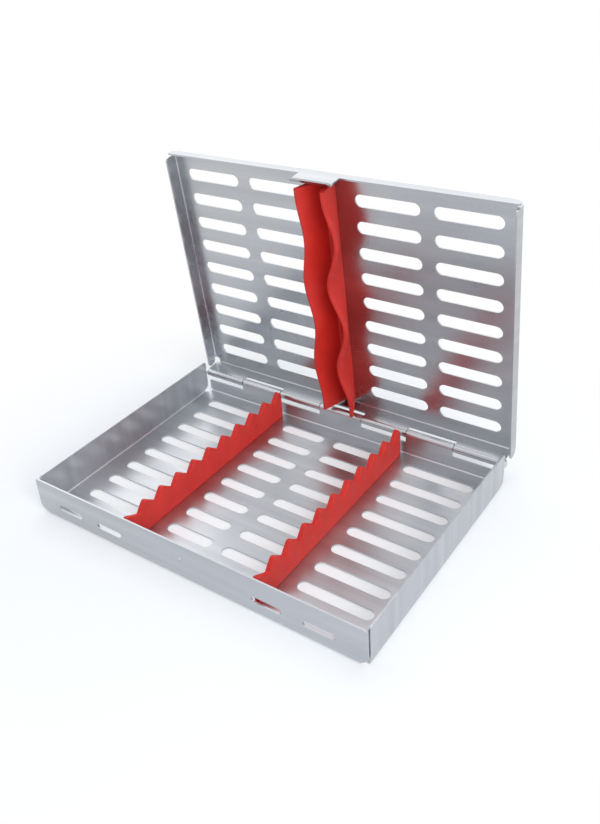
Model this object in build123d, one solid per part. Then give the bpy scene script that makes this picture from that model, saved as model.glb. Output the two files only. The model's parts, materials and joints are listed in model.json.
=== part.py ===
"""Dental instrument cassette: a perforated steel tray and lid on one rolled hinge.

Ten instruments lie across two notched silicone rails on the tray floor. A wavy silicone channel
under the lid presses them into the notches, and a sprung tab on the lid snaps under a nib on the
tray's front wall.

Millimetres. X runs along the hinge, Y to the rear, Z up. The origin is on the underside of the
tray floor, at its centre. The lid is built closed and then swung open about the hinge pin.
"""
import os
from math import cos, pi, radians, sin

from build123d import *

# Folded sheet, both halves
SHEET = 0.8  # thickness of the stainless sheet
BEND = 0.8  # inside radius of every fold
RELIEF = 2.0  # radius of the relief hole at the end of a fold
SLIT = 1.2  # gap between neighbouring walls
CORNER = 3.5  # rounding of a wall's lower corner, where its fold ends
TOP_CORNER = 2.0  # rounding of a side wall's free corner
FRONT_TOP_CORNER = 1.0  # the same on a front wall
CORNER_SHARE = 0.6  # of a low wall's flat, at most, for a lower corner
TOP_CORNER_SHARE = 0.35  # the same for a free corner

# Tray
TRAY_WIDTH = 182.0
TRAY_DEPTH = 129.0
TRAY_HEIGHT = 19.0
REAR_WALL_INSET = 2.5  # from the tray's side to the end of its rear wall

# Hinge
KNUCKLES = 7  # the odd ones belong to the lid, the even ones to the tray
KNUCKLE_RADIUS = 2.2  # outside of the rolled sheet
KNUCKLE_ROW_INSET = 0.7  # from the tray's side to the end of the row
KNUCKLE_PLAY = 0.4  # gap between two knuckles along the pin
ROLL_ANGLE = 292.0  # how far the sheet is rolled round the pin
HINGE_HEIGHT = 11.2
TRAY_NOTCH_GAP = 1.8  # open slit between a lid knuckle and the tray wall below it
LID_NOTCH_GAP = 1.0  # the same between a tray knuckle and the lid flange
NOTCH_ROUND = 0.8
PIN_PLAY = 0.06  # radial
PIN_HEAD_RADIUS = 1.9
PIN_HEAD_LENGTH = 0.6

# Lid
LID_RISE = 9.6  # from the hinge axis up to the closed lid's outer face
LID_SIDE_PLAY = 0.3  # between a tray side wall and the lid flange outside it
LID_SIDE_FLANGE = 7.6
LID_FRONT_FLANGE = 5.3
LID_OPEN = 84.0  # degrees from closed to the pose of the model

# Latch: a nib pressed out of the tray's front wall, and a sprung tab on the lid
LATCH_X = -1.5
NIB_HEIGHT = 0.8
NIB_RADIUS = 1.4
NIB_Z = 10.8
NIB_PLAY = 0.3  # around the nib when the lid is closed
TAB_WIDTH = 21.5
TAB_CREST_PLAY = 0.12  # between the tab's crest and the front wall
TAB_SLOPE = 1.2  # height over which the tab bends in to its crest
TAB_LIP = 2.6  # how far the lip flares out, and down, below the crest
TAB_BEND = 0.8
TAB_LIP_ROUND = 2.0

# Slots in floor and lid: rows of four, mirrored about the middle. Columns are measured from the
# middle, and a wall's margin from its outer face to the nearest slot.
SLOT_ROWS = 9
SLOT_WIDTH = 6.2
TRAY_INNER_SLOT = (3.1, 28.8)
TRAY_OUTER_SLOT_START = 44.0
TRAY_SIDE_MARGIN = 10.5
TRAY_FRONT_MARGIN = 6.2
TRAY_REAR_MARGIN = 9.4
LID_INNER_SLOT = (13.7, 46.2)
LID_OUTER_SLOT_START = 52.6
LID_SIDE_MARGIN = 7.7
LID_REAR_MARGIN = 8.7
FRONT_INNER_SLOT = (36.5, 51.5)
FRONT_OUTER_SLOT_START = 61.7
FRONT_SIDE_MARGIN = 14.3
FRONT_SLOT_HEIGHT = 3.0
FRONT_SLOT_Z = 7.6

# Instrument rails
NOTCHES = 10
RAIL_END_GAP = 3.2  # to the tray's front and rear walls
RAIL_THICKNESS = 2.5
RAIL_HEIGHT = 16.0
NOTCH_DEPTH = 4.4
TOOTH_TOP = 3.7  # flat top of a tooth
TOOTH_FRONT = 3.1  # run of its front flank
TOOTH_ROUND = 1.2
REAR_TOOTH_ROUND = 1.8
NOTCH_BOTTOM_ROUND = 0.6
TIP_RUN = 8.0  # length of the front tip
TIP_RISE = 2.8  # height of the front tip above the notches
TONGUE_LENGTH = 8.0  # tongues under the foot, through slots in the floor
TONGUE_THICKNESS = 1.8
TONGUE_ROWS = 4
TONGUE_PITCH = 26.8
MOULD_FIT = 0.05  # between a silicone tongue or peg and its hole

# Hold-down channel under the lid
WEB_WIDTH = 7.6
WEB_THICKNESS = 2.0
FIN_DEPTH = 14.6  # below the lid's inner face
FIN_ROOT = 2.4  # thickness where a fin leaves the web
FIN_EDGE = 2.0  # thickness at its free edge
FIN_SPLAY = 7.8  # from the middle to the mean line of a free edge
LEFT_FIN_WAVE = 1.6  # how far a free edge swings each way
RIGHT_FIN_WAVE = 3.4
WAVE_LENGTH = 48.0
WAVE_CREST_Y = 9.8  # where the free edges swing furthest to the right
WAVE_STEPS = 6  # sections to a wave
HOLD_DOWN_REAR_GAP = 2.0  # to the lid's rear flange
HOLD_DOWN_FRONT_GAP = 2.5
PEG_RADIUS = 2.4
PEG_ROWS = 4
PEG_PITCH = 33.5

# Sizes that follow from these
BEND_OUT = BEND + SHEET
HINGE_Y = TRAY_DEPTH / 2 + KNUCKLE_RADIUS - SHEET
KNUCKLE_ROW = TRAY_WIDTH - 2 * KNUCKLE_ROW_INSET
KNUCKLE_PITCH = KNUCKLE_ROW / KNUCKLES
LID_Z = HINGE_HEIGHT + LID_RISE
LID_WIDTH = TRAY_WIDTH + 2 * (LID_SIDE_PLAY + SHEET)
LID_FRONT_PLAY = NIB_HEIGHT + NIB_PLAY
LID_FRONT = -TRAY_DEPTH / 2 - LID_FRONT_PLAY - SHEET
SLOT_FIELD = TRAY_DEPTH - TRAY_FRONT_MARGIN - TRAY_REAR_MARGIN - SLOT_WIDTH
SLOT_PITCH = SLOT_FIELD / (SLOT_ROWS - 1)
RAIL_X = (TRAY_INNER_SLOT[1] + TRAY_OUTER_SLOT_START) / 2
RAIL_LENGTH = TRAY_DEPTH - 2 * (SHEET + RAIL_END_GAP)
NOTCH_PITCH = (RAIL_LENGTH - TOOTH_TOP - TOOTH_FRONT - TIP_RUN) / (NOTCHES - 1)
HINGE = Axis((0, HINGE_Y, HINGE_HEIGHT), (-1, 0, 0))
TINY = 0.001  # how closely a corner's place must match


def block(u_span, v_span):
    """A rectangle between two pairs of coordinates."""
    (u0, u1), (v0, v1) = u_span, v_span
    return Pos((u0 + u1) / 2, (v0 + v1) / 2) * Rectangle(u1 - u0, v1 - v0)


def at_height(outline, height):
    """An outline's corners at one height."""
    return outline.vertices().filter_by_position(Axis.Y, height - TINY, height + TINY)


def slot_field(columns, rows_y, width):
    """Round-ended slots along X: the given columns and their mirror images, in the given rows."""
    slots = []
    for start, end in columns:
        for side in (-1, 1):
            middle = side * (start + end) / 2
            slots += [Pos(middle, y) * SlotOverall(end - start, width) for y in rows_y]
    return Sketch() + slots


def slot_rows(rear_margin):
    """Middles of the slot rows, counted from the rear face that both halves share."""
    last = TRAY_DEPTH / 2 - rear_margin - SLOT_WIDTH / 2
    return [last - row * SLOT_PITCH for row in range(SLOT_ROWS)]


def centred_places(count, pitch):
    return [(place - (count - 1) / 2) * pitch for place in range(count)]


# A wall is drawn standing on z = 0 with its outer face at y = 0 and the pan on its +Y side.
def wall_plate(outline):
    """The flat of a wall, from its outline seen from outside."""
    return extrude(Plane.XZ * outline, amount=-SHEET)


def fold(u0, u1):
    """The quarter-round fold between floor and wall."""
    ring = Circle(BEND_OUT) - Circle(BEND)
    quarter = ring & block((-BEND_OUT, 0), (-BEND_OUT, 0))
    return extrude(Plane.YZ.offset(u0) * Pos(BEND_OUT, BEND_OUT) * quarter, amount=u1 - u0)


def plain_outline(u0, u1, height, low_corners, top_corners):
    """A wall's outline with its lower and free corners rounded, each as (at u0, at u1)."""
    flat = height - BEND_OUT
    outline = block((u0, u1), (BEND_OUT, height))
    for corners, edge, share in (
        (low_corners, 0, CORNER_SHARE),
        (top_corners, -1, TOP_CORNER_SHARE),
    ):
        for radius, end in zip(corners, (0, -1)):
            if radius:
                row = outline.vertices().group_by(Axis.Y)[edge]
                outline = fillet(row.sort_by(Axis.X)[end], min(radius, share * flat))
    return outline


def knuckle(u0, u1, axis_height):
    """Sheet rolled outwards round the pin, from the top of its wall."""
    reach = 2 * KNUCKLE_RADIUS
    end = radians(ROLL_ANGLE)
    roll_end = (reach * cos(end), reach * sin(end))
    mouth = Polygon((0, 0), roll_end, (reach, -reach), (reach, 0), align=None)
    roll = Circle(KNUCKLE_RADIUS) - Circle(KNUCKLE_RADIUS - SHEET) - mouth
    centre = Pos(SHEET - KNUCKLE_RADIUS, axis_height)
    return extrude(Plane.YZ.offset(u0) * centre * roll, amount=u1 - u0)


def hinge_wall(half_width, fold_half, first, axis_height, notch_height):
    """A rear wall with rolled knuckles on every second place, and notches between them."""
    spans = []
    for place in range(first, KNUCKLES, 2):
        start = -KNUCKLE_ROW / 2 + place * KNUCKLE_PITCH
        spans.append((start + KNUCKLE_PLAY / 2, start + KNUCKLE_PITCH - KNUCKLE_PLAY / 2))
    outline = block((-half_width, half_width), (BEND_OUT, notch_height))
    for span in spans:
        outline += block(span, (notch_height - NOTCH_ROUND, axis_height))
    inside = half_width - TINY
    corners = at_height(outline, notch_height).filter_by_position(Axis.X, -inside, inside)
    outline = fillet(corners, NOTCH_ROUND)
    wall = wall_plate(outline) + fold(-fold_half, fold_half)
    return wall + [knuckle(*span, axis_height) for span in spans]


def pan(width, front, rear, front_height, side_height, side_rear, rear_wall, slots):
    """A folded sheet: slotted floor, front wall, two side walls and the given rear wall."""
    half = width / 2
    floor = block((BEND_OUT - half, half - BEND_OUT), (front + BEND_OUT, rear - BEND_OUT))
    for x in (BEND_OUT - half, half - BEND_OUT):
        for y in (front + BEND_OUT, rear - BEND_OUT):
            floor -= Pos(x, y) * Circle(RELIEF)
    sheet = extrude(floor - slots, amount=SHEET)

    top_corners = (FRONT_TOP_CORNER, FRONT_TOP_CORNER)
    outline = plain_outline(-half, half, front_height, (CORNER, CORNER), top_corners)
    front_wall = wall_plate(outline) + fold(CORNER - half, half - CORNER)
    sheet += Pos(0, front) * front_wall

    side_front = front + SHEET + SLIT
    outline = plain_outline(side_front, side_rear, side_height, (0, CORNER), (TOP_CORNER, TOP_CORNER))
    side_wall = wall_plate(outline) + fold(side_front, side_rear - CORNER)
    right_wall = Pos(half, 0) * Rot(0, 0, 90) * side_wall
    sheet += [right_wall, mirror(right_wall, about=Plane.YZ)]
    return sheet + Pos(0, rear) * Rot(0, 0, 180) * rear_wall


def latch_nib():
    """Solid and hollow of the round nib: two balls about one centre inside the front wall."""
    ball = (NIB_RADIUS**2 + NIB_HEIGHT**2) / (2 * NIB_HEIGHT)
    reach = NIB_HEIGHT + SHEET / 2
    cap = Sphere(ball) & Pos(0, reach / 2 - ball) * Box(2 * ball, reach, 2 * ball)
    centre = Pos(LATCH_X, ball - NIB_HEIGHT - TRAY_DEPTH / 2, NIB_Z)
    return centre * cap, centre * Sphere(ball - SHEET)


def tray_sheet():
    half = TRAY_WIDTH / 2
    notch_height = HINGE_HEIGHT - KNUCKLE_RADIUS - TRAY_NOTCH_GAP
    rear_wall = hinge_wall(half - REAR_WALL_INSET, half - CORNER, 1, HINGE_HEIGHT, notch_height)
    columns = (TRAY_INNER_SLOT, (TRAY_OUTER_SLOT_START, half - TRAY_SIDE_MARGIN))
    slots = slot_field(columns, slot_rows(TRAY_REAR_MARGIN), SLOT_WIDTH)
    tongue_slot = Rectangle(TONGUE_THICKNESS + 2 * MOULD_FIT, TONGUE_LENGTH + 2 * MOULD_FIT)
    for y in centred_places(TONGUE_ROWS, TONGUE_PITCH):
        slots += [Pos(side * RAIL_X, y) * tongue_slot for side in (-1, 1)]
    rear = TRAY_DEPTH / 2
    side_rear = rear - SHEET - KNUCKLE_PLAY
    sheet = pan(TRAY_WIDTH, -rear, rear, TRAY_HEIGHT, TRAY_HEIGHT, side_rear, rear_wall, slots)
    columns = (FRONT_INNER_SLOT, (FRONT_OUTER_SLOT_START, half - FRONT_SIDE_MARGIN))
    wall_slots = slot_field(columns, [FRONT_SLOT_Z], FRONT_SLOT_HEIGHT)
    sheet -= extrude(Plane.XZ.offset(rear) * wall_slots, amount=-SHEET)
    nib, hollow = latch_nib()
    return sheet + nib - hollow


def latch_tab():
    """Tab below the lid's front flange: in to a crest under the nib, then out to a lip."""
    flange_y = LID_FRONT + SHEET / 2
    crest_y = -TRAY_DEPTH / 2 - TAB_CREST_PLAY - SHEET / 2
    crest_z = NIB_Z - NIB_RADIUS - NIB_PLAY
    flange_edge = LID_Z - LID_FRONT_FLANGE
    path = FilletPolyline(
        (flange_y, flange_edge),
        (flange_y, crest_z + TAB_SLOPE),
        (crest_y, crest_z),
        (crest_y - TAB_LIP, crest_z - TAB_LIP),
        radius=TAB_BEND,
    )
    x_span = (LATCH_X - TAB_WIDTH / 2, LATCH_X + TAB_WIDTH / 2)
    bent = extrude(Plane.YZ.offset(x_span[0]) * trace(path, SHEET), amount=TAB_WIDTH)
    outline = block(x_span, (bent.bounding_box().min.Z, flange_edge))
    outline = fillet(outline.vertices().group_by(Axis.Y)[0], TAB_LIP_ROUND)
    return bent & extrude(Plane.XZ * outline, amount=TRAY_DEPTH)


def lid_sheet():
    """The lid, closed: a pan turned upside down, with its flanges outside the tray's walls."""
    half = LID_WIDTH / 2
    notch_height = LID_RISE - KNUCKLE_RADIUS - LID_NOTCH_GAP
    wall_half = (KNUCKLE_ROW - KNUCKLE_PLAY) / 2
    rear_wall = hinge_wall(wall_half, half - CORNER, 0, LID_RISE, notch_height)
    columns = (LID_INNER_SLOT, (LID_OUTER_SLOT_START, half - LID_SIDE_MARGIN))
    slots = slot_field(columns, slot_rows(LID_REAR_MARGIN), SLOT_WIDTH)
    peg_hole = Circle(PEG_RADIUS + MOULD_FIT)
    slots += [Pos(0, y) * peg_hole for y in centred_places(PEG_ROWS, PEG_PITCH)]
    rear = TRAY_DEPTH / 2
    sheet = pan(LID_WIDTH, LID_FRONT, rear, LID_FRONT_FLANGE, LID_SIDE_FLANGE, rear, rear_wall, slots)
    return Pos(0, 0, LID_Z) * mirror(sheet, about=Plane.XY) + latch_tab()


def hinge_pin():
    """Rod through all the knuckles, its ends headed over."""
    rod = Cylinder(KNUCKLE_RADIUS - SHEET - PIN_PLAY, KNUCKLE_ROW)
    head = Pos(0, 0, KNUCKLE_ROW / 2) * extrude(Circle(PIN_HEAD_RADIUS), PIN_HEAD_LENGTH)
    head = chamfer(head.edges().sort_by(Axis.Z)[-1], PIN_HEAD_LENGTH / 2)
    return Pos(0, HINGE_Y, HINGE_HEIGHT) * Rot(0, 90, 0) * (rod + [head, mirror(head, about=Plane.XY)])


def rail_profile():
    """Side view of a rail: teeth from the rear end, and a low rising tip at the front."""
    top = SHEET + RAIL_HEIGHT
    valley = top - NOTCH_DEPTH
    rear = RAIL_LENGTH / 2
    points = [(-rear, SHEET), (rear, SHEET)]
    for tooth in range(NOTCHES):
        back = rear - tooth * NOTCH_PITCH
        points += [(back, top), (back - TOOTH_TOP, top), (back - TOOTH_TOP - TOOTH_FRONT, valley)]
    points.append((-rear, valley + TIP_RISE))
    profile = make_face(Polyline(*points, close=True))

    def corners_at(height):
        return at_height(profile, height).sort_by(Axis.X)

    profile = fillet(corners_at(top)[:-1], TOOTH_ROUND)
    profile = fillet(corners_at(top)[-1], REAR_TOOTH_ROUND)
    profile = fillet(corners_at(valley), NOTCH_BOTTOM_ROUND)
    return fillet(corners_at(valley + TIP_RISE), TOOTH_ROUND)


def rail(side):
    """A notched rail standing on the floor, with tongues down to the underside."""
    wall = extrude(Plane.YZ.offset(-RAIL_THICKNESS / 2) * rail_profile(), amount=RAIL_THICKNESS)
    for y in centred_places(TONGUE_ROWS, TONGUE_PITCH):
        wall += Pos(0, y, SHEET / 2) * Box(TONGUE_THICKNESS, TONGUE_LENGTH, SHEET)
    return Pos(side * RAIL_X, 0) * wall


def channel_section(y):
    """Cross-section of the hold-down at one place along the lid, fins leaning and waving."""
    inner_face = LID_Z - SHEET
    swing = cos(2 * pi * (y - WAVE_CREST_Y) / WAVE_LENGTH)
    web = inner_face - WEB_THICKNESS
    tip = inner_face - FIN_DEPTH + FIN_EDGE / 2
    left = -FIN_SPLAY + LEFT_FIN_WAVE * swing
    right = FIN_SPLAY + RIGHT_FIN_WAVE * swing
    half = WEB_WIDTH / 2
    edge = FIN_EDGE / 2
    outline = Curve() + [
        Line((-half, inner_face), (half, inner_face)),
        Line((half, inner_face), (right + edge, tip)),
        ThreePointArc((right + edge, tip), (right, tip - edge), (right - edge, tip)),
        Line((right - edge, tip), (half - FIN_ROOT, web)),
        Line((half - FIN_ROOT, web), (FIN_ROOT - half, web)),
        Line((FIN_ROOT - half, web), (left + edge, tip)),
        ThreePointArc((left + edge, tip), (left, tip - edge), (left - edge, tip)),
        Line((left - edge, tip), (-half, inner_face)),
    ]
    return Plane((0, y, 0), x_dir=(1, 0, 0), z_dir=(0, -1, 0)) * make_face(outline)


def lid_hold_down():
    """One lofted channel, its pegs through the lid."""
    front = LID_FRONT + SHEET + HOLD_DOWN_FRONT_GAP
    rear = TRAY_DEPTH / 2 - SHEET - HOLD_DOWN_REAR_GAP
    sections = round((rear - front) / WAVE_LENGTH * WAVE_STEPS)
    stations = [front + (rear - front) * step / sections for step in range(sections + 1)]
    channel = loft([channel_section(y) for y in stations])
    for y in centred_places(PEG_ROWS, PEG_PITCH):
        channel += Pos(0, y, LID_Z - SHEET / 2) * Cylinder(PEG_RADIUS, SHEET)
    return channel


pieces = {
    "tray_sheet": tray_sheet(),
    "hinge_pin": hinge_pin(),
    "left_rail": rail(-1),
    "right_rail": rail(1),
    "lid_sheet": lid_sheet().rotate(HINGE, LID_OPEN),
    "lid_hold_down": lid_hold_down().rotate(HINGE, LID_OPEN),
}

os.makedirs("parts", exist_ok=True)
for name, piece in pieces.items():
    export_step(piece, f"parts/{name}.step")
    print(name, len(piece.solids()), round(piece.volume, 1))
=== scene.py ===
"""A perforated stainless cassette for dental instruments, open, with its red silicone inserts."""
import json
from math import radians, tau

import bmesh
import bpy
from mathutils import Matrix, Vector


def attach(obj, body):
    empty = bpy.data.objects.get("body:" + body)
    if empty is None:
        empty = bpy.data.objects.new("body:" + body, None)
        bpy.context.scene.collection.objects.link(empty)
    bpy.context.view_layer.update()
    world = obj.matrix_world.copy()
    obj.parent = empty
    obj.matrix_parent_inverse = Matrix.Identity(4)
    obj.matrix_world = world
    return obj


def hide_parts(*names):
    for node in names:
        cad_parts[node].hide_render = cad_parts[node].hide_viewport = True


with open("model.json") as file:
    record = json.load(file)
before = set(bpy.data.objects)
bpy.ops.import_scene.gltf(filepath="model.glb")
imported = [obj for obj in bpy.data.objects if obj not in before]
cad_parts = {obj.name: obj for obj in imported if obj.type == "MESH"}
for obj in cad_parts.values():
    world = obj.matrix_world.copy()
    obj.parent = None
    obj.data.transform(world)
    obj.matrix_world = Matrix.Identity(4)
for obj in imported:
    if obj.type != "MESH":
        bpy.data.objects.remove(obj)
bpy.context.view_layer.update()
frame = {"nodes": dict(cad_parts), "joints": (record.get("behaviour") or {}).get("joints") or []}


# ---- Camera --------------------------------------------------------------------------------
# The photograph's viewpoint, from the right and above, with the picture's own slight roll.
camera_data = bpy.data.cameras.new("camera")
camera_data.sensor_fit = "HORIZONTAL"
camera_data.sensor_width = 36
camera_data.lens = 52.383
camera_data.shift_x = 0.0509
camera_data.shift_y = -0.0902
camera_data.clip_start = 0.01
camera = bpy.data.objects.new("camera", camera_data)
camera.location = (0.20956, -0.26124, 0.26509)
camera.rotation_euler = (radians(60.621), radians(4.151), radians(35.585))
bpy.context.scene.collection.objects.link(camera)
bpy.context.scene.camera = camera


# ---- Studio --------------------------------------------------------------------------------
# A white table under soft lamps. The camera, and what the steel mirrors, see a white room, and
# the table keeps the cassette's own soft shadow.
def linear(colour):
    """An sRGB hex colour as linear red, green, blue and alpha."""
    shares = [int(colour[at : at + 2], 16) / 255 for at in (1, 3, 5)]
    return (*[c / 12.92 if c <= 0.04045 else ((c + 0.055) / 1.055) ** 2.4 for c in shares], 1.0)


def add(tree, kind, inputs=None, **settings):
    """Adds a node, with its settings, its input values and the links into it. A node given as an
    input is linked by its first output."""
    node = tree.nodes.new(kind)
    for name, value in settings.items():
        setattr(node, name, value)
    for socket, value in (inputs or {}).items():
        if isinstance(value, bpy.types.Node):
            value = value.outputs[0]
        if isinstance(value, bpy.types.NodeSocket):
            tree.links.new(value, node.inputs[socket])
        else:
            node.inputs[socket].default_value = value
    return node


def rays_that_see_white(tree):
    """1 for the rays that show the white room: from the camera, a mirroring face or glass."""
    path = add(tree, "ShaderNodeLightPath")
    mirrored = add(
        tree, "ShaderNodeMath",
        {0: path.outputs["Is Camera Ray"], 1: path.outputs["Is Glossy Ray"]}, operation="MAXIMUM",
    )
    return add(
        tree, "ShaderNodeMath",
        {0: mirrored, 1: path.outputs["Is Transmission Ray"]}, operation="MAXIMUM",
    ).outputs[0]


room = bpy.data.worlds.new("white_room")
room.use_nodes = True
room.node_tree.nodes.clear()
seen = rays_that_see_white(room.node_tree)
room_light = add(
    room.node_tree, "ShaderNodeBackground", {"Color": linear("#F4F6FA"), "Strength": 0.50}
)
room_white = add(
    room.node_tree, "ShaderNodeBackground", {"Color": linear("#FFFFFF"), "Strength": 1.0}
)
room_mix = add(
    room.node_tree, "ShaderNodeMixShader",
    {0: seen, 1: room_light, 2: room_white},
)
add(room.node_tree, "ShaderNodeOutputWorld", {"Surface": room_mix})
bpy.context.scene.world = room

table_mesh = bpy.data.meshes.new("table")
TABLE_REACH = 4
TABLE_TOP = -1e-4  # a hair under the tray, so that the two faces don't lie in each other
table_corners = [
    (x * TABLE_REACH, y * TABLE_REACH, TABLE_TOP) for x, y in ((-1, -1), (1, -1), (1, 1), (-1, 1))
]
table_mesh.from_pydata(table_corners, [], [(0, 1, 2, 3)])
table = bpy.data.objects.new("table", table_mesh)
bpy.context.scene.collection.objects.link(table)
table_paper = bpy.data.materials.new("white_table_paper")
table_paper.use_nodes = True
table_paper.node_tree.nodes.clear()
tree = table_paper.node_tree
seen = rays_that_see_white(tree)
paper = add(tree, "ShaderNodeBsdfDiffuse", {"Color": linear("#E5E8EB")})
paper_glow = add(tree, "ShaderNodeEmission", {"Color": linear("#FFFFFF"), "Strength": 0.22})
unseen = add(tree, "ShaderNodeEmission", {"Strength": 0.0})
glow = add(tree, "ShaderNodeMixShader", {0: seen, 1: unseen, 2: paper_glow})
near = add(tree, "ShaderNodeAddShader", {0: paper, 1: glow})
# Away from the cassette the paper runs into the plain white of the room.
from_middle = add(
    tree, "ShaderNodeVectorMath", {0: add(tree, "ShaderNodeTexCoord").outputs["Object"]},
    operation="LENGTH",
)
away = add(
    tree, "ShaderNodeMapRange",
    {"Value": from_middle.outputs["Value"], "From Min": 0.115, "From Max": 0.21},
    interpolation_type="SMOOTHSTEP",
)
white = add(tree, "ShaderNodeEmission", {"Color": linear("#FFFFFF"), "Strength": 1.0})
far = add(tree, "ShaderNodeMixShader", {0: seen, 1: paper, 2: white})
whole = add(tree, "ShaderNodeMixShader", {0: away, 1: near, 2: far})
add(tree, "ShaderNodeOutputMaterial", {"Surface": whole})
table_mesh.materials.append(table_paper)

for lamp_name, place, size, power in (
    ("softbox_above", (-0.35, 0.40, 0.95), 1.8, 7.0),
    ("softbox_right", (0.75, -0.35, 0.55), 0.6, 5.0),
):
    lamp_data = bpy.data.lights.new(lamp_name, "AREA")
    lamp_data.size = size
    lamp_data.energy = power
    lamp = bpy.data.objects.new(lamp_name, lamp_data)
    lamp.location = place
    lamp.rotation_euler = (Vector((0, 0, 0.05)) - Vector(place)).to_track_quat("-Z", "Y").to_euler()
    bpy.context.scene.collection.objects.link(lamp)


# ---- Tray and lid sheets -------------------------------------------------------------------
# Each half is one blank of 0.8 mm stainless sheet, slotted, folded up on four sides and rolled
# into knuckles at the rear. The slots and edges are deburred, so they catch a thin line of light.
SHEET_THICKNESS = 0.0008
EDGE_ROUND = 0.00012  # what deburring takes off an edge
LINE_RUN, LINE_WIDTH = 0.030, 0.00035  # a brushed line; real ones are finer, but would not show
LINE_DEPTH = 0.00006
ROLLER_RUN, ROLLER_WIDTH = 0.1667, 0.00625  # a broad band that the rolling mill leaves
HANDLED_PATCH = 0.0263  # a patch that wiping and handling leave a little duller
TEAR_WIDTH, TEAR_HEIGHT, TEAR_DEPTH = 0.00025, 0.0025, 0.00005  # a tear on a punched wall


def brushed_stainless(name, colours, dullness, side_across, side_along):
    """Cold-rolled stainless, finely brushed along the width before it was slotted and folded:
    a soft mirror, which the fine lines blur and the rollers and wiping cloud."""
    steel = bpy.data.materials.new(name)
    steel.use_nodes = True
    tree = steel.node_tree
    tree.nodes.clear()
    place = add(tree, "ShaderNodeTexCoord").outputs["Object"]
    facing = add(tree, "ShaderNodeNewGeometry").outputs["Normal"]
    xyz = add(tree, "ShaderNodeSeparateXYZ", {0: place})
    way = add(tree, "ShaderNodeSeparateXYZ", {0: facing})
    # The sheet is laid out flat for its lines. Side walls face along X, so there they run along
    # another pair of directions than in the panel and in the front and rear walls.
    to_side = add(tree, "ShaderNodeMath", {0: way.outputs["X"]}, operation="ABSOLUTE")
    is_side = add(tree, "ShaderNodeMath", {0: to_side, 1: 0.7}, operation="GREATER_THAN")
    unrolled = add(
        tree, "ShaderNodeMath", {0: xyz.outputs["Y"], 1: xyz.outputs["Z"]}, operation="ADD"
    )
    across = add(
        tree, "ShaderNodeMix", {0: is_side, 2: unrolled, 3: xyz.outputs[side_across]}
    )
    along = add(
        tree, "ShaderNodeMix", {0: is_side, 2: xyz.outputs["X"], 3: xyz.outputs[side_along]}
    )
    flat = add(tree, "ShaderNodeCombineXYZ", {0: along, 1: across})
    lines_place = add(
        tree, "ShaderNodeVectorMath",
        {0: flat, 1: (1 / LINE_RUN, 1 / LINE_WIDTH, 1)}, operation="MULTIPLY",
    )
    lines = add(
        tree, "ShaderNodeTexNoise", {"Vector": lines_place, "Scale": 1.0, "Detail": 3.0},
    )
    # Broad bands left by the rollers, and the cloudy look of handled metal.
    bands_place = add(
        tree, "ShaderNodeVectorMath",
        {0: flat, 1: (1 / ROLLER_RUN, 1 / ROLLER_WIDTH, 1)}, operation="MULTIPLY",
    )
    bands = add(tree, "ShaderNodeTexNoise", {"Vector": bands_place, "Scale": 1.0, "Detail": 2.0})
    clouds = add(
        tree, "ShaderNodeTexNoise", {"Vector": place, "Scale": 1 / HANDLED_PATCH, "Detail": 2.0}
    )
    shade = add(
        tree, "ShaderNodeMapRange",
        {"Value": bands, "From Min": 0.3, "From Max": 0.7, "To Min": 0.0, "To Max": 1.0},
    )
    tint = add(
        tree, "ShaderNodeMix",
        {0: shade, 6: linear(colours[0]), 7: linear(colours[1])}, data_type="RGBA",
    )
    roughness = add(
        tree, "ShaderNodeMapRange",
        {
            "Value": clouds, "From Min": 0.3, "From Max": 0.7,
            "To Min": dullness - 0.04, "To Max": dullness + 0.04,
        },
    )
    relief = add(
        tree, "ShaderNodeBump", {"Height": lines, "Strength": 0.12, "Distance": LINE_DEPTH}
    )
    surface = add(
        tree, "ShaderNodeBsdfPrincipled",
        {
            "Base Color": tint.outputs[2], "Metallic": 1.0,
            "Roughness": roughness, "Normal": relief,
        },
    )
    add(tree, "ShaderNodeOutputMaterial", {"Surface": surface})
    return steel


def slot_wall_painted_shade():
    """The wall of a punched slot: torn and burnished by the tool, so dull, and mixed near black as
    painted shade for the shadowed table under the tray that it mirrors.
    """
    steel = bpy.data.materials.new("slot_wall_painted_shade_steel")
    steel.use_nodes = True
    tree = steel.node_tree
    tree.nodes.clear()
    place = add(tree, "ShaderNodeTexCoord").outputs["Object"]
    drawn = add(
        tree, "ShaderNodeVectorMath",
        {0: place, 1: (1 / TEAR_WIDTH, 1 / TEAR_WIDTH, 1 / TEAR_HEIGHT)}, operation="MULTIPLY",
    )
    tears = add(tree, "ShaderNodeTexNoise", {"Vector": drawn, "Scale": 1.0, "Detail": 2.0})
    # Two near-black tones: painted shade, standing in for the shadowed table under the tray.
    tint = add(
        tree, "ShaderNodeMix",
        {0: tears, 6: linear("#2C2F34"), 7: linear("#474A50")}, data_type="RGBA",
    )
    relief = add(
        tree, "ShaderNodeBump", {"Height": tears, "Strength": 0.3, "Distance": TEAR_DEPTH}
    )
    surface = add(
        tree, "ShaderNodeBsdfPrincipled",
        {
            "Base Color": tint.outputs[2], "Metallic": 1.0, "Roughness": 0.45,
            "Normal": relief,
        },
    )
    add(tree, "ShaderNodeOutputMaterial", {"Surface": surface})
    return steel


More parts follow.
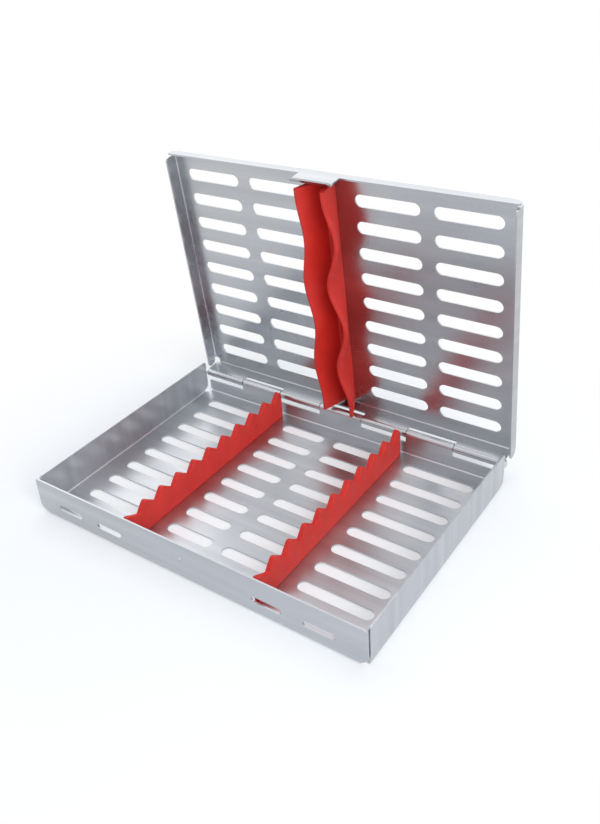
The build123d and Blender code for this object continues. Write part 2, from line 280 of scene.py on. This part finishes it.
def deburred(node_name, piece_name):
    """A copy of a folded sheet with its punched and cut edges rounded."""
    piece = bpy.data.objects.new(piece_name, frame["nodes"][node_name].data.copy())
    bpy.context.scene.collection.objects.link(piece)
    shape = bmesh.new()
    shape.from_mesh(piece.data)
    bmesh.ops.remove_doubles(shape, verts=shape.verts, dist=2e-6)
    bmesh.ops.dissolve_limit(
        shape, angle_limit=radians(0.5), verts=shape.verts, edges=shape.edges, delimit=set()
    )
    # Walls of the slots in the tray floor stand upright within its thickness, and take the sheet's
    # second material, which for the tray is painted shade.
    for face in shape.faces:
        in_floor = face.calc_center_median().z < SHEET_THICKNESS
        face.material_index = int(in_floor and abs(face.normal.z) < 0.1)
    shape.to_mesh(piece.data)
    shape.free()
    rounding = piece.modifiers.new("deburred_edges", "BEVEL")
    rounding.width = EDGE_ROUND
    rounding.segments = 2
    rounding.limit_method = "ANGLE"
    rounding.angle_limit = radians(40)
    piece.data.shade_smooth()
    flat_faces = piece.modifiers.new("flat_faces_stay_flat", "WEIGHTED_NORMAL")
    flat_faces.mode = "FACE_AREA"
    flat_faces.weight = 100
    return piece


# The lid's steel is mixed a little darker than the tray's: painted shade, for the darker look its
# inner face has from what it mirrors.
tray_steel = brushed_stainless("brushed_stainless_tray", ("#B6B9BE", "#C5C8CC"), 0.33, "Y", "Z")
lid_steel = brushed_stainless("brushed_stainless_lid", ("#B0B3B8", "#BEC1C5"), 0.28, "Z", "Y")
for node_name, body, finish, slot_wall in (
    # The tray's slot walls get the steel with painted shade; the lid's keep its own steel.
    ("tray_sheet", "tray", tray_steel, slot_wall_painted_shade()),
    ("lid_sheet", "lid", lid_steel, lid_steel),
):
    sheet = deburred(node_name, "folded_" + node_name)
    sheet.data.materials.clear()
    sheet.data.materials.append(finish)
    sheet.data.materials.append(slot_wall)
    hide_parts(node_name)
    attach(sheet, body)


# ---- Hinge pin -----------------------------------------------------------------------------
# One drawn stainless wire through all seven knuckles, with its ends headed over: brighter and
# smoother than the sheet, with fine rings across it.
RING_WIDTH, RING_REACH, RING_DEPTH = 0.0004, 0.00333, 0.00005  # along, round and into the wire


def drawn_wire():
    """Drawn stainless wire: bright, with faint rings where it was cut and headed."""
    wire = bpy.data.materials.new("drawn_stainless_wire")
    wire.use_nodes = True
    tree = wire.node_tree
    tree.nodes.clear()
    place = add(tree, "ShaderNodeTexCoord").outputs["Object"]
    stretched = add(
        tree, "ShaderNodeVectorMath",
        {0: place, 1: (1 / RING_WIDTH, 1 / RING_REACH, 1 / RING_REACH)}, operation="MULTIPLY",
    )
    rings = add(tree, "ShaderNodeTexNoise", {"Vector": stretched, "Scale": 1.0, "Detail": 2.0})
    dullness = add(
        tree, "ShaderNodeMapRange", {"Value": rings, "To Min": 0.16, "To Max": 0.30}
    )
    tint = add(
        tree, "ShaderNodeMix",
        {0: rings, 6: linear("#B9BCC2"), 7: linear("#D6D9DE")}, data_type="RGBA",
    )
    relief = add(
        tree, "ShaderNodeBump", {"Height": rings, "Strength": 0.15, "Distance": RING_DEPTH}
    )
    surface = add(
        tree, "ShaderNodeBsdfPrincipled",
        {
            "Base Color": tint.outputs[2], "Metallic": 1.0,
            "Roughness": dullness, "Normal": relief,
        },
    )
    add(tree, "ShaderNodeOutputMaterial", {"Surface": surface})
    return wire


pin = frame["nodes"]["hinge_pin"]
for material_slot in pin.material_slots:
    material_slot.material = drawn_wire()


# ---- Instrument rails ----------------------------------------------------------------------
# Two notched rails of red silicone, moulded in one piece with tongues that are pushed through
# slots in the tray floor. The wall swells a little under each tooth, and its edges are rounded.
SHADE_PATCH = 0.0111  # a patch where the colour is mixed a little lighter
SPARK_GRAIN, SPARK_DEPTH = 0.000385, 0.00005  # the grain of the eroded mould, drawn coarse to show
MOULD_WAVE, MOULD_WAVE_DEPTH = 0.00625, 0.0002  # how far apart the skin rises and sinks


def moulded_silicone():
    """Silicone rubber from a spark-eroded mould: an even, saturated red with a satin skin, fine
    grain, and a slightly soft edge where light goes into it."""
    rubber = bpy.data.materials.new("moulded_silicone_red")
    rubber.use_nodes = True
    tree = rubber.node_tree
    tree.nodes.clear()
    place = add(tree, "ShaderNodeTexCoord").outputs["Object"]
    clouds = add(
        tree, "ShaderNodeTexNoise", {"Vector": place, "Scale": 1 / SHADE_PATCH, "Detail": 3.0}
    )
    share = add(tree, "ShaderNodeMapRange", {"Value": clouds, "From Min": 0.3, "From Max": 0.7})
    tint = add(
        tree, "ShaderNodeMix",
        {0: share, 6: linear("#D02C25"), 7: linear("#DC342B")}, data_type="RGBA",
    )
    dullness = add(
        tree, "ShaderNodeMapRange", {"Value": clouds, "To Min": 0.40, "To Max": 0.52}
    )
    grain = add(
        tree, "ShaderNodeTexNoise", {"Vector": place, "Scale": 1 / SPARK_GRAIN, "Detail": 2.0}
    )
    waves = add(
        tree, "ShaderNodeTexNoise", {"Vector": place, "Scale": 1 / MOULD_WAVE, "Detail": 1.0}
    )
    skin = add(
        tree, "ShaderNodeBump", {"Height": grain, "Strength": 0.25, "Distance": SPARK_DEPTH}
    )
    relief = add(
        tree, "ShaderNodeBump",
        {"Height": waves, "Strength": 0.25, "Distance": MOULD_WAVE_DEPTH, "Normal": skin},
    )
    surface = add(
        tree, "ShaderNodeBsdfPrincipled",
        {
            "Base Color": tint.outputs[2], "Roughness": dullness, "IOR": 1.41,
            "Subsurface Weight": 0.15, "Subsurface Radius": (1.0, 0.25, 0.2),
            "Subsurface Scale": 0.001, "Normal": relief,
        },
    )
    add(tree, "ShaderNodeOutputMaterial", {"Surface": surface})
    return rubber


silicone = moulded_silicone()


def moulding_tree(name, sizes):
    """An empty geometry tree that takes a cross-section and named sizes and gives a mesh."""
    tree = bpy.data.node_groups.new(name, "GeometryNodeTree")
    tree.interface.new_socket("Section", in_out="INPUT", socket_type="NodeSocketGeometry")
    for label, size in sizes.items():
        kind = "NodeSocketInt" if isinstance(size, int) else "NodeSocketFloat"
        tree.interface.new_socket(label, in_out="INPUT", socket_type=kind)
    tree.interface.new_socket("Material", in_out="INPUT", socket_type="NodeSocketMaterial")
    tree.interface.new_socket("Moulding", in_out="OUTPUT", socket_type="NodeSocketGeometry")
    return tree, add(tree, "NodeGroupInput").outputs


def swept_bar(tree, section, start_y, end_y, stations, edge_round):
    """The section, its corners rounded, swept along Y between two ends and closed there."""
    start = add(tree, "ShaderNodeCombineXYZ", {"Y": start_y})
    end = add(tree, "ShaderNodeCombineXYZ", {"Y": end_y})
    line = add(tree, "GeometryNodeCurvePrimitiveLine", {"Start": start, "End": end})
    spine = add(tree, "GeometryNodeResampleCurve", {"Curve": line, "Count": stations})
    outline = add(tree, "GeometryNodeMeshToCurve", {"Mesh": section})
    rounded = add(
        tree, "GeometryNodeFilletCurve",
        {"Curve": outline, "Radius": edge_round, "Count": 4}, mode="POLY",
    )
    return add(
        tree, "GeometryNodeCurveToMesh",
        {"Curve": spine, "Profile Curve": rounded, "Fill Caps": True},
    )


def studs(tree, shape, count, first_y, pitch, height):
    """A row of equal studs along the middle of a moulding."""
    start = add(tree, "ShaderNodeCombineXYZ", {"Y": first_y, "Z": height})
    step = add(tree, "ShaderNodeCombineXYZ", {"Y": pitch})
    places = add(
        tree, "GeometryNodeMeshLine",
        {"Count": count, "Start Location": start, "Offset": step},
    )
    return add(
        tree, "GeometryNodeInstanceOnPoints", {"Points": places, "Instance": shape}
    )


def finish_moulding(tree, parts, material, across=0.0, height=0.0):
    """Joins a moulding's parts, puts them in place and gives them their material."""
    joined = add(tree, "GeometryNodeJoinGeometry")
    for part in parts:
        tree.links.new(part.outputs[0], joined.inputs[0])
    place = add(tree, "ShaderNodeCombineXYZ", {"X": across, "Z": height})
    placed = add(
        tree, "GeometryNodeTransform", {"Geometry": joined, "Translation": place}
    )
    solid = add(tree, "GeometryNodeRealizeInstances", {"Geometry": placed})
    coloured = add(tree, "GeometryNodeSetMaterial", {"Geometry": solid, "Material": material})
    add(tree, "NodeGroupOutput", {0: coloured})


def moulded(name, section, tree, sizes):
    """Runs a tree on a section, given as (across, height) corners, and keeps the plain mesh."""
    mesh = bpy.data.meshes.new(name)
    # The sweep stands a section's -Y up, so heights are drawn downwards.
    corners = [(x, -z, 0.0) for x, z in section]
    mesh.from_pydata(corners, [(i, (i + 1) % len(corners)) for i in range(len(corners))], [])
    piece = bpy.data.objects.new(name, mesh)
    bpy.context.scene.collection.objects.link(piece)
    moulding = piece.modifiers.new("moulding", "NODES")
    moulding.node_group = tree
    for socket in tree.interface.items_tree:
        if socket.in_out == "INPUT" and socket.name in sizes:
            moulding[socket.identifier] = sizes[socket.name]
    bpy.context.view_layer.update()
    made = piece.evaluated_get(bpy.context.evaluated_depsgraph_get())
    piece.data = bpy.data.meshes.new_from_object(made)
    piece.modifiers.clear()
    piece.data.shade_smooth()
    piece.data.set_sharp_from_angle(angle=radians(50))
    return piece


RAIL_SIZES = {
    "Across": 0.0364, "Floor": 0.0008, "Length": 0.1210, "Height": 0.0160, "Stations": 360,
    "Notches": 10, "Depth": 0.0049, "Flat": 0.0010, "Front Run": 0.0044, "Tail": 0.0068,
    "Notch Round": 0.0005, "Tooth Round": 0.0008, "Tip Run": 0.0080, "Tip Rise": 0.0040,
    "End Round": 0.0016, "Edge Round": 0.0004, "Swell": 0.00014, "Swell Ahead": 0.16,
    "Tongues": 4, "Tongue Pitch": 0.0268,
}
RAIL_THICKNESS = 0.0025
TONGUE_SIZE = (0.0018, 0.0080, 0.0008)


def rail_tree():
    """A bar whose top is pressed down into notches, with tongues under its foot."""
    tree, size = moulding_tree("notched_rail", RAIL_SIZES)
    at = {label: size[label] for label in RAIL_SIZES}
    point = add(tree, "ShaderNodeSeparateXYZ", {0: add(tree, "GeometryNodeInputPosition")})
    at.update({axis: point.outputs[axis] for axis in "XYZ"})
    # Each row names a value and says how it is worked out. "run" is the distance to the rear of
    # the nearest notch bottom, which is negative ahead of it, and ahead of the first notch lies
    # the tip. Both ends are rounded down by a quarter circle, and the wall swells under the
    # middle of each tooth.
    for name, operation, *parts in (
        ("half", "MULTIPLY", "Length", 0.5),
        ("front", "MULTIPLY", "half", -1.0),
        ("tooth run", "ADD", "Flat", "Front Run"),
        ("without tip", "SUBTRACT", "Length", "Tip Run"),
        ("notched length", "SUBTRACT", "without tip", "Tail"),
        ("gaps", "SUBTRACT", "Notches", 1.0),
        ("pitch", "DIVIDE", "notched length", "gaps"),
        ("back run", "SUBTRACT", "pitch", "tooth run"),
        ("ahead", "MULTIPLY", "back run", -1.0),
        ("first notch", "ADD", "front", "Tip Run"),
        ("behind", "SUBTRACT", "Y", "first notch"),
        ("in tip", "LESS_THAN", "behind", 0.0),
        ("wrapped", "WRAP", "behind", "tooth run", "ahead"),
        ("tooth slope", "DIVIDE", "Depth", "Front Run"),
        ("back slope", "DIVIDE", "Depth", "back run"),
        ("tip slope", "DIVIDE", "Tip Rise", "Tip Run"),
        ("run", "MIX", "in tip", "wrapped", "behind"),
        ("slope", "MIX", "in tip", "back slope", "tip slope"),
        ("rising", "MULTIPLY", "run", "tooth slope"),
        ("fallen", "MULTIPLY", "run", "slope"),
        ("falling", "MULTIPLY", "fallen", -1.0),
        ("notch", "SMOOTH_MAX", "rising", "falling", "Notch Round"),
        ("tooth", "SMOOTH_MIN", "notch", "Depth", "Tooth Round"),
        ("off middle", "ABSOLUTE", "Y"),
        ("to end", "SUBTRACT", "half", "off middle"),
        ("round share", "DIVIDE", "to end", "End Round"),
        ("within round", "MINIMUM", "round share", 1.0),
        ("into round", "SUBTRACT", 1.0, "within round"),
        ("squared", "POWER", "into round", 2.0),
        ("circle squared", "SUBTRACT", 1.0, "squared"),
        ("circle", "SQRT", "circle squared"),
        ("end share", "SUBTRACT", 1.0, "circle"),
        ("end drop", "MULTIPLY", "End Round", "end share"),
        ("notch drop", "SUBTRACT", "Depth", "tooth"),
        ("drop", "ADD", "notch drop", "end drop"),
        ("past tooth", "SUBTRACT", "behind", "tooth run"),
        ("turn", "DIVIDE", "past tooth", "pitch"),
        ("shifted turn", "ADD", "turn", "Swell Ahead"),
        ("angle", "MULTIPLY", "shifted turn", tau),
        ("swell", "COSINE", "angle"),
        ("side", "SIGN", "X"),
        ("outwards", "MULTIPLY", "swell", "side"),
        ("bulge", "MULTIPLY", "outwards", "Swell"),
        ("half height", "MULTIPLY", "Height", 0.5),
        ("is top", "GREATER_THAN", "Z", "half height"),
        ("lowered", "MULTIPLY", "drop", "is top"),
        ("down", "MULTIPLY", "lowered", -1.0),
        ("out", "MULTIPLY", "bulge", "is top"),
        ("gaps between tongues", "SUBTRACT", "Tongues", 1.0),
        ("span", "MULTIPLY", "gaps between tongues", "Tongue Pitch"),
        ("first tongue", "MULTIPLY", "span", -0.5),
        ("under", "MULTIPLY", "Floor", -0.5),
    ):
        given = [at.get(part, part) for part in parts]
        if operation == "MIX":
            made = add(tree, "ShaderNodeMix", {0: given[0], 2: given[1], 3: given[2]})
        else:
            made = add(tree, "ShaderNodeMath", dict(enumerate(given)), operation=operation)
        at[name] = made.outputs[0]

    bar = swept_bar(
        tree, size["Section"], at["front"], at["half"], at["Stations"], at["Edge Round"]
    )
    shift = add(tree, "ShaderNodeCombineXYZ", {"X": at["out"], "Z": at["down"]})
    wall = add(tree, "GeometryNodeSetPosition", {"Geometry": bar, "Offset": shift})
    tongue = add(tree, "GeometryNodeMeshCube", {"Size": TONGUE_SIZE})
    tongues = studs(
        tree, tongue, at["Tongues"], at["first tongue"], at["Tongue Pitch"], at["under"]
    )
    finish_moulding(tree, (wall, tongues), size["Material"], at["Across"], at["Floor"])
    return tree


notched_rail = rail_tree()
rail_section = [
    (-RAIL_THICKNESS / 2, 0.0), (RAIL_THICKNESS / 2, 0.0),
    (RAIL_THICKNESS / 2, RAIL_SIZES["Height"]), (-RAIL_THICKNESS / 2, RAIL_SIZES["Height"]),
]
for side, hand in (("left", -1), ("right", 1)):
    sizes = {**RAIL_SIZES, "Across": hand * RAIL_SIZES["Across"], "Material": silicone}
    rail = moulded("silicone_rail_" + side, rail_section, notched_rail, sizes)
    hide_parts(side + "_rail")
    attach(rail, "tray")


# ---- Hold-down -----------------------------------------------------------------------------
# A silicone channel under the lid, with two splayed fins whose free edges wave from side to
# side, so that they grip instruments of any shape. Moulded pegs hold it in the lid's holes.
LID_FACE = 0.0200  # height of the closed lid's inner face
HOLD_DOWN_SIZES = {
    "Front": -0.0631, "Rear": 0.0617, "Stations": 190, "Web": 0.0020, "Depth": 0.0136,
    "Wave Length": 0.0480, "Crest": 0.0098, "Left Wave": 0.0016, "Right Wave": 0.0034,
    "Calm": 0.45, "Edge Round": 0.00085, "Root Round": 0.0001, "Root Height": 0.0005,
    "Pegs": 4, "Peg Pitch": 0.0335, "Peg Radius": 0.0024, "Peg Height": 0.0008,
}
PEG_CORNERS = 40


def hold_down_tree():
    """A channel swept along the lid, whose fins swing further the further they are from it."""
    tree, size = moulding_tree("waved_channel", HOLD_DOWN_SIZES)
    at = {label: size[label] for label in HOLD_DOWN_SIZES}
    point = add(tree, "ShaderNodeSeparateXYZ", {0: add(tree, "GeometryNodeInputPosition")})
    at.update({axis: point.outputs[axis] for axis in "XYZ"})
    # The section is rounded before it is swept, while its heights still lie along Y. The swing
    # grows from none at the web to all of it at the free edge, and calms towards both ends.
    for name, operation, *parts in (
        ("at root", "LESS_THAN", "Y", "Root Height"),
        ("edge round", "MIX", "at root", "Edge Round", "Root Round"),
        ("below", "MULTIPLY", "Z", -1.0),
        ("under web", "SUBTRACT", "below", "Web"),
        ("fin", "SUBTRACT", "Depth", "Web"),
        ("depth share", "DIVIDE", "under web", "fin"),
        ("not above", "MAXIMUM", "depth share", 0.0),
        ("share", "MINIMUM", "not above", 1.0),
        ("past crest", "SUBTRACT", "Y", "Crest"),
        ("turn", "DIVIDE", "past crest", "Wave Length"),
        ("angle", "MULTIPLY", "turn", tau),
        ("swing", "COSINE", "angle"),
        ("is left", "LESS_THAN", "X", 0.0),
        ("reach", "MIX", "is left", "Right Wave", "Left Wave"),
        ("along", "DIVIDE", "Y", "Rear"),
        ("along squared", "POWER", "along", 2.0),
        ("calming", "MULTIPLY", "along squared", "Calm"),
        ("liveliness", "SUBTRACT", 1.0, "calming"),
        ("height", "MULTIPLY", "reach", "liveliness"),
        ("swung", "MULTIPLY", "swing", "share"),
        ("sideways", "MULTIPLY", "swung", "height"),
        ("gaps between pegs", "SUBTRACT", "Pegs", 1.0),
        ("span", "MULTIPLY", "gaps between pegs", "Peg Pitch"),
        ("first peg", "MULTIPLY", "span", -0.5),
        ("peg middle", "MULTIPLY", "Peg Height", 0.5),
    ):
        given = [at.get(part, part) for part in parts]
        if operation == "MIX":
            made = add(tree, "ShaderNodeMix", {0: given[0], 2: given[1], 3: given[2]})
        else:
            made = add(tree, "ShaderNodeMath", dict(enumerate(given)), operation=operation)
        at[name] = made.outputs[0]

    bar = swept_bar(
        tree, size["Section"], at["Front"], at["Rear"], at["Stations"], at["edge round"]
    )
    shift = add(tree, "ShaderNodeCombineXYZ", {"X": at["sideways"]})
    channel = add(tree, "GeometryNodeSetPosition", {"Geometry": bar, "Offset": shift})
    peg = add(
        tree, "GeometryNodeMeshCylinder",
        {"Vertices": PEG_CORNERS, "Radius": at["Peg Radius"], "Depth": at["Peg Height"]},
    )
    pegs = studs(tree, peg, at["Pegs"], at["first peg"], at["Peg Pitch"], at["peg middle"])
    finish_moulding(tree, (channel, pegs), size["Material"], height=LID_FACE)
    return tree


fin_section = [(-0.0038, 0.0), (0.0038, 0.0), (0.0088, -0.0146), (0.0068, -0.0146)]
fin_section += [(0.0008, -0.0020), (-0.0008, -0.0020), (-0.0068, -0.0146), (-0.0088, -0.0146)]
hold_down = moulded(
    "silicone_hold_down", fin_section, hold_down_tree(), {**HOLD_DOWN_SIZES, "Material": silicone}
)
# It is moulded in the closed lid's place, and swung open with the lid.
lid_hinge = frame["joints"][0]
pivot = Matrix.Translation(lid_hinge["pos_m"])
opening = Matrix.Rotation(radians(-lid_hinge["range_deg"][0]), 4, Vector(lid_hinge["axis"]))
hold_down.data.transform(pivot @ opening @ pivot.inverted())
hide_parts("lid_hold_down")
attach(hold_down, "lid")


# ---- Look ----------------------------------------------------------------------------------
# Colours render as written.
bpy.context.scene.view_settings.view_transform = "Standard"
